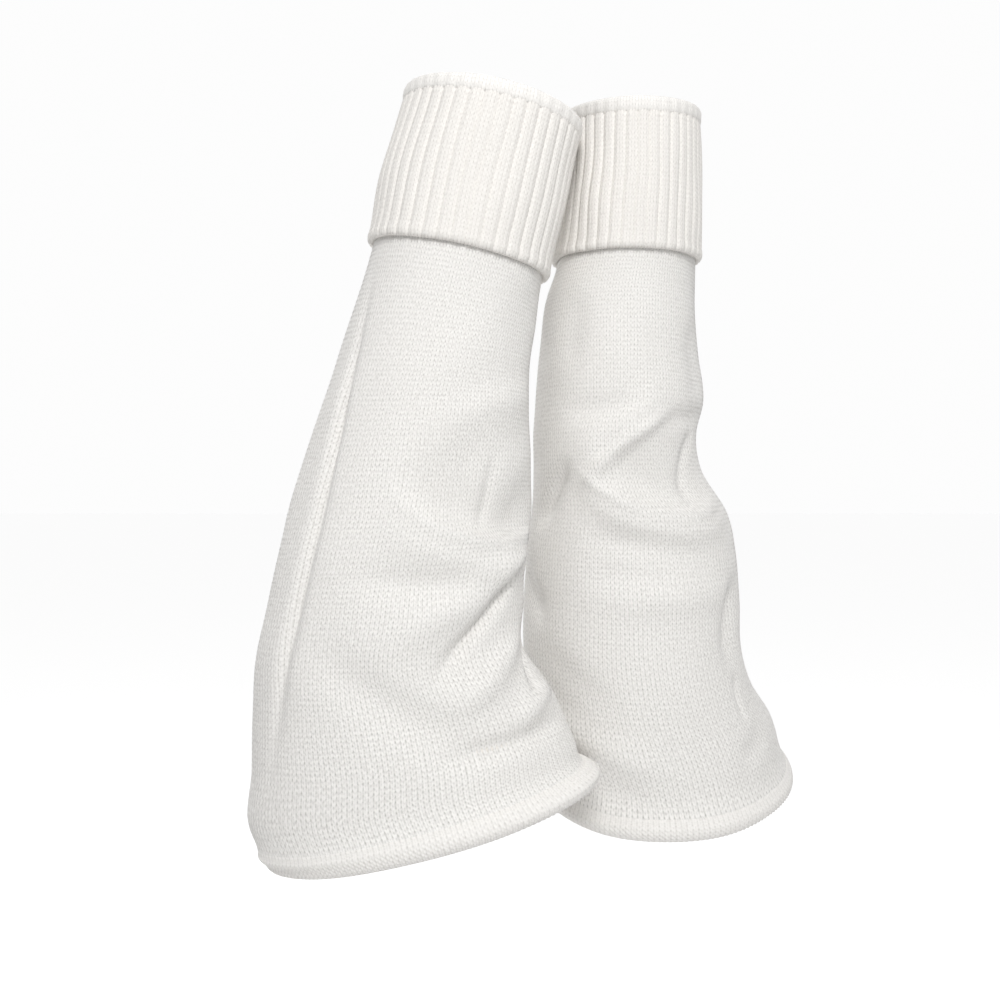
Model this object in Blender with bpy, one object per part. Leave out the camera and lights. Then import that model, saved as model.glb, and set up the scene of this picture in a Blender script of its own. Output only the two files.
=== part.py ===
"""A pair of flared, knitted leg warmers, filled out as if worn, as closed solids of cloth.

Each warmer is a tube of stockinette that widens to its hem. A ribbed cuff is turned down over
its top, a smooth rounded edge covers the turn, and the hem curls up into a roll.
A point of the cloth is named by its angle round the tube, in degrees from the front towards +X,
and by its drop, the distance in mm below the top of the tube. Tables below are in mm.
"""

import math
from collections import namedtuple

import bmesh
import bpy
import numpy as np

MM = 0.001

CLOTH = 2.4  # thickness of the knitted cloth
SEAM = 0.3  # air between two pieces at a seam

CUFF_DROP = 85.0  # height of the turned-down cuff
RIBS = 40  # ribs round a cuff
WALES_PER_RIB = 3  # two raised wales and one sunk wale
RIB_RISE = 1.3  # how far a rib stands above the sunk wale beside it

EDGE_HEIGHT = 8.0  # rounded edge above the ribs
EDGE_PROUD = 0.6  # how far that edge stands past the ribs

ROLL_RADIUS = 7.0  # the curled hem, rolled up
FLARE_RISE = 5.0  # the cloth turns out just above the roll
FLARE_HEIGHT = 14.0
ROLL_START = 42.0  # degrees from the roll's top to where the flare runs into it

FOLD_FADE = 0.35  # share of a fold's length over which each end dies away

BODY_COLUMNS = 52
FRONT_CROWD = 14.0  # columns are moved up to this many degrees towards the front
EDGE_COLUMNS = 40
EDGE_ARC_STEPS = 4
ROLL_SIDES = 8
CUFF_ROWS = 3
PLAIN_ROWS = 6  # rows of the quiet upper part, below the cuff
FOLDED_ROWS = 18
FLARE_ROWS = 3
PLAIN_DROP = 190.0  # the deep folds start below this

BODY_COLOUR = (0.83, 0.81, 0.77)  # warm off-white yarn
CUFF_COLOUR = (0.86, 0.84, 0.80)
TOP_EDGE_COLOUR = (0.88, 0.86, 0.82)
HEM_COLOUR = (0.84, 0.82, 0.78)
YARN_ROUGHNESS = 0.9

# One row for each section of a tube: the leftmost and rightmost points of its outline as seen
# from the front, the depth at which they lie, half the tube's depth there, and by how many
# degrees the section's front is turned down.
Section = namedtuple("Section", "drop left_x left_z right_x right_z y half_depth dip")

LEFT_SECTIONS = (
    Section(0, -88, 48, 10, 28, -23, 44, 0),
    Section(42, -101, 6, 1, -14, -23, 44, 0),
    Section(84, -109, -35, -9, -55, -23, 44, 0),
    Section(117, -119, -69, -13, -84, -23, 44, 0),
    Section(143, -128, -99, -16, -106, -23, 45, 0),
    Section(177, -140, -135, -17, -136, -23, 46, 0),
    Section(206, -150, -165, -15, -164, -24, 47, 0),
    Section(236, -159, -196, -14, -193, -25, 49, 1),
    Section(266, -166, -227, -19, -220, -26, 51, 1),
    Section(295, -172, -255, -20, -249, -27, 52, 1),
    Section(322, -177, -284, -21, -275, -29, 53, 2),
    Section(351, -179, -315, -4, -300, -30, 54, 2),
    Section(380, -180, -347, 7, -324, -32, 55, 2),
    Section(402, -180, -379, 11, -336, -34, 55, 2),
    Section(414, -170, -392, 11, -343, -35, 55, 2),
)

RIGHT_SECTIONS = (
    Section(0, 11, 51, 90, 51, 21, 49, 9),
    Section(42, 8, 8, 91, 8, 23, 50, 6),
    Section(86, 3, -36, 91, -37, 25, 50, 3),
    Section(119, -5, -65, 92, -66, 27, 51, 1),
    Section(150, -8, -96, 94, -97, 29, 52, 0),
    Section(179, -10, -125, 97, -126, 31, 53, 0),
    Section(199, -12, -146, 93, -146, 33, 55, 1),
    Section(222, -12, -168, 97, -168, 35, 57, 2),
    Section(250, -13, -195, 114, -196, 37, 60, 3),
    Section(277, -16, -222, 120, -222, 39, 62, 4),
    Section(307, -18, -252, 123, -252, 42, 65, 6),
    Section(337, -18, -283, 125, -282, 45, 69, 7),
    Section(367, -14, -313, 133, -310, 48, 73, 9),
    Section(394, -9, -343, 147, -333, 52, 76, 11),
    Section(410, -6, -359, 152, -348, 55, 78, 12),
    Section(421, -4, -371, 154, -361, 57, 79, 12),
)

# One row for each fold: a straight run over the cloth from one point to another, its half width,
# how far it rises (or, below zero, how deep it sinks), and how far its middle bows to the side.
Fold = namedtuple("Fold", "angle0 drop0 angle1 drop1 half_width rise bow")

LEFT_FOLDS = (
    Fold(-62, 88, -58, 400, 5, -4.5, -17),
    Fold(-82, 100, -78, 400, 9, 2.0, -12),
    Fold(4, 194, 92, 172, 9, 2.2, -9),
    Fold(-2, 226, 94, 200, 12, -3.5, -9),
    Fold(-6, 214, 100, 238, 26, -8.0, 18),
    Fold(-12, 221, 100, 252, 4.5, 3.8, 20),
    Fold(-14, 230, 98, 261, 12, 7.0, 18),
    Fold(-26, 270, 66, 284, 9, -4.0, 3),
    Fold(-8, 322, 92, 262, 12, 5.5, -8),
    Fold(16, 338, 80, 264, 5, -5.2, -3),
    Fold(14, 354, 84, 306, 8, 5.0, 0),
    Fold(4, 378, 84, 367, 6.5, -4.6, 0),
    Fold(-36, 300, 34, 384, 12, -4.0, 0),
    Fold(112, 214, 192, 224, 14, -4.5, 0),
    Fold(104, 250, 206, 262, 7, 4.0, 7),
    Fold(128, 332, 214, 292, 9, 4.0, -8),
    Fold(140, 352, 226, 318, 7, -4.0, -4),
    Fold(232, 196, 258, 384, 6, -2.8, 8),
)
RIGHT_FOLDS = (
    Fold(-44, 166, -34, 112, 7, -1.6, 0),
    Fold(56, 126, 60, 190, 10, -2.4, 0),
    Fold(-48, 190, 14, 184, 7, -2.6, 0),
    Fold(-36, 236, 38, 182, 4.5, 4.4, -5),
    Fold(-44, 228, 30, 172, 11, 3.6, -5),
    Fold(-12, 220, 76, 206, 12, -3.5, 0),
    Fold(-22, 211, 74, 226, 14, -6.0, 17),
    Fold(20, 194, 78, 188, 6, -2.6, 0),
    Fold(-38, 218, 72, 239, 4.5, 3.6, 20),
    Fold(-40, 228, 70, 249, 11, 5.6, 18),
    Fold(-70, 264, -36, 214, 5.5, -4.0, 0),
    Fold(-36, 264, 46, 276, 9, -3.2, -2),
    Fold(-36, 284, 26, 285, 7, -1.4, 0),
    Fold(-36, 300, 76, 297, 9, 2.6, 0),
    Fold(66, 284, 56, 352, 10, -6.0, 0),
    Fold(-98, 280, -52, 320, 10, -5.0, 0),
    Fold(-58, 322, -4, 368, 9, -2.8, 0),
    Fold(-64, 348, 0, 378, 9, 4.0, 2),
    Fold(-50, 396, -10, 410, 8, -2.4, 0),
    Fold(30, 399, 62, 386, 7, -2.4, 0),
    Fold(96, 212, 176, 206, 12, -4.5, 0),
    Fold(92, 246, 190, 236, 7, 4.2, 8),
    Fold(126, 300, 216, 318, 9, 4.0, -6),
    Fold(118, 322, 204, 346, 8, -4.0, 0),
    Fold(206, 196, 262, 232, 8, -3.6, 4),
)

# A warmer: its name, its two tables, and how far its roll is pushed towards +X.
Warmer = namedtuple("Warmer", "name sections folds roll_shift")

WARMERS = (
    Warmer("left", LEFT_SECTIONS, LEFT_FOLDS, roll_shift=5.0),
    Warmer("right", RIGHT_SECTIONS, RIGHT_FOLDS, roll_shift=0.0),
)


def spline(knots, values, at):
    """A smooth curve through the values, with each slope set by the two values beside it."""
    knots = np.asarray(knots, float)
    values = np.asarray(values, float)
    slopes = np.gradient(values, knots)
    at = np.clip(at, knots[0], knots[-1])
    i = np.clip(np.searchsorted(knots, at, side="right") - 1, 0, len(knots) - 2)
    span = knots[i + 1] - knots[i]
    t = (at - knots[i]) / span
    start = (1 + 2 * t) * (1 - t) ** 2 * values[i] + t * (1 - t) ** 2 * span * slopes[i]
    end = t**2 * (3 - 2 * t) * values[i + 1] - t**2 * (1 - t) * span * slopes[i + 1]
    return start + end


def ease(x):
    """0 below 0, 1 above 1 and a soft S between."""
    x = np.clip(x, 0, 1)
    return x * x * (3 - 2 * x)


def column(sections, name, at):
    """One column of a section table, read between its rows."""
    return spline([s.drop for s in sections], [getattr(s, name) for s in sections], at)


def half_width(sections, at):
    """Half the distance between a section's leftmost and rightmost points."""
    run = column(sections, "right_x", at) - column(sections, "left_x", at)
    fall = column(sections, "right_z", at) - column(sections, "left_z", at)
    return np.hypot(run, fall) / 2


def fold_rise(warmer, angle, drop):
    """How far all folds together lift the cloth at a point."""
    total = np.zeros(np.broadcast(angle, drop).shape)
    for fold in warmer.folds:
        drop_mid = (fold.drop0 + fold.drop1) / 2
        angle_mid = (fold.angle0 + fold.angle1) / 2
        girth = half_width(warmer.sections, drop_mid) + column(warmer.sections, "half_depth", drop_mid)
        mm_per_degree = math.radians(girth / 2)
        round_it = ((angle - angle_mid + 180) % 360 - 180) * mm_per_degree
        down_it = drop - drop_mid
        run_round = (fold.angle1 - fold.angle0) * mm_per_degree
        run_down = fold.drop1 - fold.drop0
        length = math.hypot(run_round, run_down)
        along = (round_it * run_round + down_it * run_down) / length**2
        bowed = fold.bow * (1 - 4 * along**2)
        aside = (down_it * run_round - round_it * run_down) / length - bowed
        faded = ease((0.5 - np.abs(along)) / FOLD_FADE)
        total = total + fold.rise * faded * np.exp(-((aside / fold.half_width) ** 2))
    return total


def section_axes(sections, drop):
    """The centre of a section and the directions of its width, its depth and its upright."""
    left = np.array([column(sections, n, drop) for n in ("left_x", "y", "left_z")])
    right = np.array([column(sections, n, drop) for n in ("right_x", "y", "right_z")])
    width = (right - left) / np.linalg.norm(right - left, axis=0)
    upright = np.array([-width[2], np.zeros_like(width[1]), width[0]])
    back = np.zeros_like(width)
    back[1] = 1.0
    dip = np.radians(column(sections, "dip", drop))
    depth = np.cos(dip) * back + np.sin(dip) * upright
    upright = np.cos(dip) * upright - np.sin(dip) * back
    return (left + right) / 2, width, depth, upright


def cloth_points(warmer, angle, drop, out=0.0, down=0.0):
    """Points in mm, out mm proud of the cloth's outer face and down mm below their section."""
    angle, drop, out, down = (np.asarray(v, float) for v in np.broadcast_arrays(angle, drop, out, down))
    end = warmer.sections[-1].drop
    flare = FLARE_RISE * np.clip((drop - end + FLARE_HEIGHT) / FLARE_HEIGHT, 0, 1) ** 2
    out = out + flare + fold_rise(warmer, angle, drop)
    a = half_width(warmer.sections, drop)
    b = column(warmer.sections, "half_depth", drop)
    across = np.sin(np.radians(angle))
    along = -np.cos(np.radians(angle))
    slant = np.hypot(across * b, along * a)
    across_at = a * across + out * across * b / slant
    along_at = b * along + out * along * a / slant
    centre, width, depth, upright = section_axes(warmer.sections, drop)
    point = centre + across_at * width + along_at * depth - down * upright
    return np.moveaxis(point, 0, -1)


def grid(warmer, angles, drops, out):
    """Rows of cloth points, one row for each drop and one column for each angle."""
    return cloth_points(warmer, np.asarray(angles)[None, :], np.asarray(drops)[:, None], out)


def round_angles(count):
    """Angles all round a tube, closer together at the front, where the deep folds are."""
    even = np.arange(count) * 360.0 / count
    return even - FRONT_CROWD * np.sin(np.radians(even))


def join_rows(bm, upper, lower):
    """Close the strip between two rings of vertices, facing out where angles run to +X."""
    count = len(upper)
    for i in range(count):
        j = (i + 1) % count
        bm.faces.new((upper[i], lower[i], lower[j], upper[j]))


def closed_loop_solid(name, rings, colour):
    """A solid whose surface passes through the rings in turn and back to the first one."""
    mesh = bpy.data.meshes.new(name)
    bm = bmesh.new()
    rows = [[bm.verts.new(point * MM) for point in ring] for ring in rings]
    for upper, lower in zip(rows, rows[1:] + rows[:1]):
        join_rows(bm, upper, lower)
    bm.to_mesh(mesh)
    bm.free()
    mesh.shade_smooth()
    solid = bpy.data.objects.new(name, mesh)
    solid.data.materials.append(knit_material(name, colour))
    bpy.context.scene.collection.objects.link(solid)
    return solid


def knit_material(name, colour):
    """Matt yarn in one colour."""
    material = bpy.data.materials.new(name + "_knit")
    material.use_nodes = True
    surface = material.node_tree.nodes["Principled BSDF"]
    surface.inputs["Base Color"].default_value = (*colour, 1.0)
    surface.inputs["Roughness"].default_value = YARN_ROUGHNESS
    surface.inputs["Metallic"].default_value = 0.0
    return material


def body_drops(warmer):
    """Rows down a body: few behind the cuff, more where the folds are, three at the flare."""
    end = warmer.sections[-1].drop
    behind_cuff = np.linspace(0, CUFF_DROP, CUFF_ROWS)
    quiet = np.linspace(CUFF_DROP, PLAIN_DROP, PLAIN_ROWS + 1)[1:]
    folded = np.linspace(PLAIN_DROP, end - FLARE_HEIGHT, FOLDED_ROWS)[1:]
    flared = np.linspace(end - FLARE_HEIGHT, end, FLARE_ROWS + 1)[1:]
    return np.concatenate((behind_cuff, quiet, folded, flared))


def body(warmer):
    """The flared stockinette tube, from the turn at its top to its hem."""
    angles = round_angles(BODY_COLUMNS)
    drops = body_drops(warmer)
    outer = list(grid(warmer, angles, drops, 0.0))
    inner = list(grid(warmer, angles, drops, -CLOTH))
    return closed_loop_solid(warmer.name + "_body", outer + inner[::-1], BODY_COLOUR)


def rib_rise(wale):
    """Two wales of a rib are raised and the third is sunk."""
    return np.where(wale % WALES_PER_RIB == WALES_PER_RIB - 1, 0.0, RIB_RISE)


def cuff(warmer):
    """The ribbed cuff, turned down over the top of the body."""
    wales = np.arange(RIBS * WALES_PER_RIB)
    angles = wales * 360.0 / len(wales)
    drops = np.linspace(0, CUFF_DROP, CUFF_ROWS)
    outer = list(grid(warmer, angles, drops, SEAM + CLOTH + rib_rise(wales)[None, :]))
    inner = list(grid(warmer, angles, drops, SEAM))
    return closed_loop_solid(warmer.name + "_cuff", outer + inner[::-1], CUFF_COLOUR)


def top_edge(warmer):
    """The smooth rounded edge over the turn, as wide as the body and the cuff together."""
    angles = round_angles(EDGE_COLUMNS)
    inside = -CLOTH
    outside = SEAM + CLOTH + RIB_RISE + EDGE_PROUD
    middle = (inside + outside) / 2
    radius = (outside - inside) / 2
    turns = np.linspace(0, math.pi, EDGE_ARC_STEPS + 1)
    profile = [(inside, -SEAM), (outside, -SEAM)]
    lift = EDGE_HEIGHT - radius
    profile += [(middle + radius * math.cos(t), -lift - radius * math.sin(t)) for t in turns]
    rings = [cloth_points(warmer, angles, 0.0, out, down) for out, down in profile]
    return closed_loop_solid(warmer.name + "_top_edge", rings[::-1], TOP_EDGE_COLOUR)


def hem_roll(warmer):
    """The curled hem: a ring that carries on the line of the flare and is flat under the body's end."""
    angles = round_angles(BODY_COLUMNS)
    end = warmer.sections[-1].drop
    start = math.radians(ROLL_START)
    centre_out = -ROLL_RADIUS * math.sin(start) + warmer.roll_shift * np.sin(np.radians(angles))
    centre_down = ROLL_RADIUS * math.cos(start) + SEAM
    rings = []
    for side in range(ROLL_SIDES):
        turn = start + (2 * math.pi - 2 * start) * side / (ROLL_SIDES - 1)
        out = centre_out + ROLL_RADIUS * math.sin(turn)
        down = centre_down - ROLL_RADIUS * math.cos(turn)
        rings.append(cloth_points(warmer, angles, end, out, down))
    return closed_loop_solid(warmer.name + "_hem_roll", rings, HEM_COLOUR)


def clear_scene():
    """Start from nothing."""
    for old in list(bpy.data.objects):
        bpy.data.objects.remove(old, do_unlink=True)


def main():
    clear_scene()
    for warmer in WARMERS:
        top_edge(warmer)
        cuff(warmer)
        body(warmer)
        hem_roll(warmer)


main()
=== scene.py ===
# %% [markdown]
# # A pair of flared leg warmers
# This lesson dresses a plain model of two knitted leg warmers. Each one is a tube of plain
# knitting that flares to the hem, with a ribbed cuff turned down over its top and a raw edge
# that curls up at the bottom. The frame gives fixed solids of the right size. We knit a fine
# skin over each solid, stitch by stitch, and light it like a product on a pale floor.

import math
from collections import namedtuple

import bpy
import numpy as np
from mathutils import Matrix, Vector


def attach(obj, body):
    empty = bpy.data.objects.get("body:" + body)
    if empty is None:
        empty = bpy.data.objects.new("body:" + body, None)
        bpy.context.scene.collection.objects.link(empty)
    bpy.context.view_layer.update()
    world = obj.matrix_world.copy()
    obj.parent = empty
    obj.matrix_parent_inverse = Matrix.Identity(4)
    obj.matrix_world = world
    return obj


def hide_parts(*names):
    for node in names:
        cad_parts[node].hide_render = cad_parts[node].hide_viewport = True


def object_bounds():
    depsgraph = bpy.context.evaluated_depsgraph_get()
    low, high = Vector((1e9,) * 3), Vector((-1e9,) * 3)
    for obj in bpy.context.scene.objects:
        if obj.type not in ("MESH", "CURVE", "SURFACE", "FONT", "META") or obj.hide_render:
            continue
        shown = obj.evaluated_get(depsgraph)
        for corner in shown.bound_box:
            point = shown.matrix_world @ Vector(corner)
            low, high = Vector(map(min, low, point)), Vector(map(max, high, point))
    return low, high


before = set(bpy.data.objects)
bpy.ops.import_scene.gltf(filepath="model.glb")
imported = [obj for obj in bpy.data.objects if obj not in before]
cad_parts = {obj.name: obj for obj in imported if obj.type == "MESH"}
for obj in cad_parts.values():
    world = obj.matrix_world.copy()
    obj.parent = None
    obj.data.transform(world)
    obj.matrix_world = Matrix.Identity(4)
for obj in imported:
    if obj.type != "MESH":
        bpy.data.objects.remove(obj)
cad_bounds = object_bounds()
print("nodes:", sorted(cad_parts))
print("box of the solids:", cad_bounds)

# %% [markdown]
# ## The camera
# The picture was taken level, from the front, at the height of the middle of the pair, so the
# cuffs are seen from a little below and the hems from a little above. A camera quite close to
# the knitting gives the same strong curves of cuff and hem. The lens is as long as the sensor is
# wide, so the view is fairly wide too.

# %% Camera
CAMERA_PLACE = (-0.034, -0.623, -0.189)
CAMERA_LENS = 36.0
SENSOR_WIDTH = 36.0

bpy.ops.object.select_all(action="DESELECT")
bpy.ops.object.camera_add(location=CAMERA_PLACE, rotation=(math.radians(90), 0, 0))
camera = bpy.context.object
camera.name = "level_camera"
camera.data.lens = CAMERA_LENS
camera.data.sensor_width = SENSOR_WIDTH
camera.data.sensor_fit = "HORIZONTAL"
bpy.context.scene.camera = camera
print("camera at", CAMERA_PLACE)

# %% [markdown]
# ## Floor and light
# White knitting on white needs soft light with a direction. A panel above and in front of the
# pair makes the upper sides of the folds brightest and leaves their undersides grey. Two weak
# panels behind lift the outer edges. A very wide top lamp and a dim surround fill the shadows.
# The camera sees the surround white and the floor a little brighter than the lamps make it, so
# the pale floor runs into a white distance. The floor lies a little below the hems, because the
# wearer's legs hold the pair up.

# %% Floor
FLOOR_DROP = 0.20
FLOOR_SIZE = 60.0
FLOOR_COLOUR = (0.9, 0.9, 0.9, 1.0)
WHITE = (1.0, 1.0, 1.0, 1.0)
FLOOR_GLOW = 0.42  # how much brighter the camera sees the floor than the lamps make it

floor_height = cad_bounds[0][2] - FLOOR_DROP
bpy.ops.mesh.primitive_plane_add(size=FLOOR_SIZE, location=(0, 0, floor_height))
floor = bpy.context.object
floor.name = "pale_floor"
floor_paint = bpy.data.materials.new("pale_floor_paint")
floor_paint.use_nodes = True
floor_surface = floor_paint.node_tree.nodes["Principled BSDF"]
floor_surface.inputs["Base Color"].default_value = FLOOR_COLOUR
floor_surface.inputs["Roughness"].default_value = 1.0
floor_surface.inputs["Specular IOR Level"].default_value = 0.0
floor_surface.inputs["Emission Color"].default_value = WHITE
seen = floor_paint.node_tree.nodes.new("ShaderNodeLightPath")
glow = floor_paint.node_tree.nodes.new("ShaderNodeMath")
glow.operation = "MULTIPLY"
glow.inputs[1].default_value = FLOOR_GLOW
floor_paint.node_tree.links.new(seen.outputs["Is Camera Ray"], glow.inputs[0])
floor_paint.node_tree.links.new(glow.outputs[0], floor_surface.inputs["Emission Strength"])
floor.data.materials.append(floor_paint)
print("floor at", round(floor_height, 3))

# %% Lamps and surround
SURROUND = 0.32
SEEN_WHITE = 0.98  # brightness of the distance as the camera sees it
Panel = namedtuple("Panel", "name place size watts")
PANELS = (
    Panel("front_panel", (0.06, -1.0, 0.48), 0.45, 8.5),
    Panel("left_rim_panel", (-0.5, 0.5, 0.0), 0.5, 1.8),
    Panel("right_rim_panel", (0.5, 0.55, 0.0), 0.5, 0.8),
)
AIM = (-0.02, 0.0, -0.16)  # the panels face this point near the middle of the pair
TOP_STRENGTH = 0.9
TOP_SOFTNESS = 80.0  # degrees across

for panel in PANELS:
    bpy.ops.object.light_add(type="AREA", location=panel.place)
    lamp = bpy.context.object
    lamp.name = panel.name
    lamp.data.shape = "SQUARE"
    lamp.data.size = panel.size
    lamp.data.energy = panel.watts
    towards = np.array(AIM) - np.array(panel.place)
    level = math.hypot(towards[0], towards[1])
    lamp.rotation_euler = (math.atan2(level, -towards[2]), 0, math.atan2(-towards[0], towards[1]))

bpy.ops.object.light_add(type="SUN")
top_lamp = bpy.context.object
top_lamp.name = "wide_top_lamp"
top_lamp.data.energy = TOP_STRENGTH
top_lamp.data.angle = math.radians(TOP_SOFTNESS)

world = bpy.data.worlds.new("white_studio")
world.use_nodes = True
sky = world.node_tree
lights_up = sky.nodes["Background"]
lights_up.inputs["Color"].default_value = WHITE
lights_up.inputs["Strength"].default_value = SURROUND
is_seen = sky.nodes.new("ShaderNodeBackground")
is_seen.inputs["Color"].default_value = WHITE
is_seen.inputs["Strength"].default_value = SEEN_WHITE
ray = sky.nodes.new("ShaderNodeLightPath")
choose = sky.nodes.new("ShaderNodeMixShader")
sky.links.new(ray.outputs["Is Camera Ray"], choose.inputs[0])
sky.links.new(lights_up.outputs[0], choose.inputs[1])
sky.links.new(is_seen.outputs[0], choose.inputs[2])
sky.links.new(choose.outputs[0], sky.nodes["World Output"].inputs["Surface"])
bpy.context.scene.world = world
bpy.context.scene.view_settings.view_transform = "Standard"
print("lamps:", [panel.name for panel in PANELS], top_lamp.name, "surround:", SURROUND)

# %% [markdown]
# ## The yarn
# The knitting is a warm off-white wool that is soft, matt and a little fuzzy. Each stitch is a
# small V. Their V shape is in the mesh, and a bump inside the material rounds each leg of the V
# and adds fibres. The UV map of every piece counts stitches: u is the number of the wale, the
# column of stitches, and v the number of the course, the row. So one material suits every piece
# at any size, and the pattern follows the cloth through every fold.

# %% Helper for node sums
WALES = 160  # columns of stitches round a warmer
COURSE = 2.8  # height of a row of stitches, in mm
SLANT = 0.8  # how many courses a leg of a stitch climbs


def plug(tree, value, socket):
    """Feed a socket from another socket or set it to a number."""
    if isinstance(value, bpy.types.NodeSocket):
        tree.links.new(value, socket)
    else:
        socket.default_value = value


def sum_node(tree, operation, first, second=0.0, third=0.0):
    """One step of arithmetic in a material."""
    node = tree.nodes.new("ShaderNodeMath")
    node.operation = operation
    for value, socket in zip((first, second, third), node.inputs):
        plug(tree, value, socket)
    return node.outputs[0]


print("gauge:", WALES, "wales, course", COURSE, "mm")

# %% Heights of the stitches
PURL_WAVE = 0.2  # courses by which a row of purl loops waves
WALE_ROUNDING = 0.6
ROW_ROUNDING = 0.7
MIDDLE_STEEPNESS = 6.0  # how narrow the groove between the two legs of a V is
MIDDLE_DIP = 0.2  # and how deep
# These shares set the bump and also the painted shade: where the stitches sink, they are painted
# darker.
BESIDE_SHARE = 0.42  # how deep the cloth sinks beside a wale
BETWEEN_SHARE = 0.02  # and between two courses
HOLE_SHARE = 0.75  # and where both meet
INNER_HOLE_SHARE = 0.8
MIDDLE_LAG = 0.3  # courses by which the holes inside the wales lie lower


def row_height(group, along, lag=0.0):
    """Height over the rows of stitches: round crests with narrow gaps between them."""
    wave = sum_node(group, "SINE", sum_node(group, "MULTIPLY_ADD", along, math.pi, lag * math.pi))
    return sum_node(group, "POWER", sum_node(group, "ABSOLUTE", wave), ROW_ROUNDING)


def purl_height(group, wale, course):
    """Height over the purl side: rows of loops that wave a little."""
    wave = sum_node(group, "COSINE", sum_node(group, "MULTIPLY", wale, 2 * math.pi))
    along = sum_node(group, "ADD", course, sum_node(group, "MULTIPLY", wave, PURL_WAVE))
    return row_height(group, along)


def knit_height(group, wale, course):
    """Height over the knit side: the two slanting legs of each V and the small holes round them."""
    shifted = sum_node(group, "FRACT", sum_node(group, "ADD", wale, 0.5))
    aside = sum_node(group, "ABSOLUTE", sum_node(group, "SUBTRACT", shifted, 0.5))
    along = sum_node(group, "ADD", course, sum_node(group, "MULTIPLY", aside, 2 * SLANT))
    arc = sum_node(group, "COSINE", sum_node(group, "MULTIPLY", aside, math.pi))
    round_wale = sum_node(group, "POWER", sum_node(group, "MAXIMUM", arc, 0.0), WALE_ROUNDING)
    steep = sum_node(group, "MULTIPLY_ADD", aside, -MIDDLE_STEEPNESS, 1.0)
    near_middle = sum_node(group, "MAXIMUM", steep, 0.0)
    leg = sum_node(group, "MULTIPLY_ADD", near_middle, -MIDDLE_DIP, round_wale)
    beside = sum_node(group, "SUBTRACT", 1.0, leg)
    between = sum_node(group, "SUBTRACT", 1.0, row_height(group, along))
    inner_gap = sum_node(group, "SUBTRACT", 1.0, row_height(group, along, MIDDLE_LAG))
    inner_hole = sum_node(group, "MULTIPLY", near_middle, inner_gap)
    inner_part = sum_node(group, "MULTIPLY", inner_hole, INNER_HOLE_SHARE)
    hole = sum_node(group, "MULTIPLY_ADD", beside, between, inner_part)
    between_part = sum_node(group, "MULTIPLY", between, BETWEEN_SHARE)
    sunk = sum_node(group, "MULTIPLY_ADD", beside, BESIDE_SHARE, between_part)
    sunk = sum_node(group, "MULTIPLY_ADD", hole, HOLE_SHARE, sunk)
    return sum_node(group, "SUBTRACT", 1.0, sunk)


print("a leg of a stitch climbs", SLANT, "courses, a purl loop waves", PURL_WAVE)

# %% Stitch patterns as shared node groups
FIBRES_PER_STITCH = 1.7
FIBRE_DETAIL = 3.0
FIBRE_SHARE = 0.5
SPOT_SHARE = 1.3  # how strongly single stitches differ in shade


def stitch_group(name, stitch_height):
    """Height of one side of the knitting, and its painted shade with random tone, read off the stitch
    count.
    """
    group = bpy.data.node_groups.new(name, "ShaderNodeTree")
    group.interface.new_socket("Stitch", in_out="INPUT", socket_type="NodeSocketVector")
    group.interface.new_socket("Height", in_out="OUTPUT", socket_type="NodeSocketFloat")
    group.interface.new_socket("Shade", in_out="OUTPUT", socket_type="NodeSocketFloat")
    source = group.nodes.new("NodeGroupInput")
    result = group.nodes.new("NodeGroupOutput")
    split = group.nodes.new("ShaderNodeSeparateXYZ")
    group.links.new(source.outputs["Stitch"], split.inputs[0])
    stitch = stitch_height(group, split.outputs[0], split.outputs[1])
    fibre = group.nodes.new("ShaderNodeTexNoise")
    fibre.inputs["Scale"].default_value = FIBRES_PER_STITCH
    fibre.inputs["Detail"].default_value = FIBRE_DETAIL
    group.links.new(source.outputs["Stitch"], fibre.inputs["Vector"])
    fuzzy = sum_node(group, "MULTIPLY_ADD", fibre.outputs["Fac"], FIBRE_SHARE, stitch)
    group.links.new(fuzzy, result.inputs["Height"])
    # The Shade output is painted shade taken from the stitch height, darker where it sinks, plus random
    # tone from the fibre noise.
    uneven = sum_node(group, "MULTIPLY_ADD", fibre.outputs["Fac"], SPOT_SHARE, -SPOT_SHARE / 2)
    group.links.new(sum_node(group, "ADD", stitch, uneven), result.inputs["Shade"])
    return group


knit_side = stitch_group("knit_side_stitches", knit_height)
purl_side = stitch_group("purl_side_stitches", purl_height)
print("groups:", knit_side.name, purl_side.name)

# %% [markdown]
# Light sinks between the stitches of real yarn, so the valleys get painted shade: they are a
# little darker and warmer than the crests. A weak sheen stands for the halo of loose fibres that
# catches light at the edges of the folds. The shader stays in each material, and only values come
# from the groups.

# %% Yarn material
Yarn = namedtuple("Yarn", "name crest valley bump")
# Each yarn's valley colour is painted shade for the hollows between the stitches.
KNIT_YARN = Yarn("body_yarn", (0.90, 0.885, 0.86), (0.50, 0.485, 0.46), 0.5)
# The rib yarn is the body's wool painted darker, as painted shade over the cuffs.
RIB_YARN_PAINTED_DARKER = Yarn("rib_yarn_painted_darker", (0.85, 0.828, 0.795), (0.62, 0.595, 0.56), 0.35)
EDGE_YARN = Yarn("edge_yarn", (0.90, 0.882, 0.855), (0.66, 0.64, 0.61), 0.3)
INSIDE_YARN = Yarn("inside_yarn", (0.84, 0.81, 0.765), (0.66, 0.625, 0.575), 0.3)
BUMP_REACH = 0.0007
YARN_ROUGHNESS = 0.85
YARN_SHINE = 0.25
SHEEN = 0.12
SHEEN_ROUGHNESS = 0.5


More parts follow.
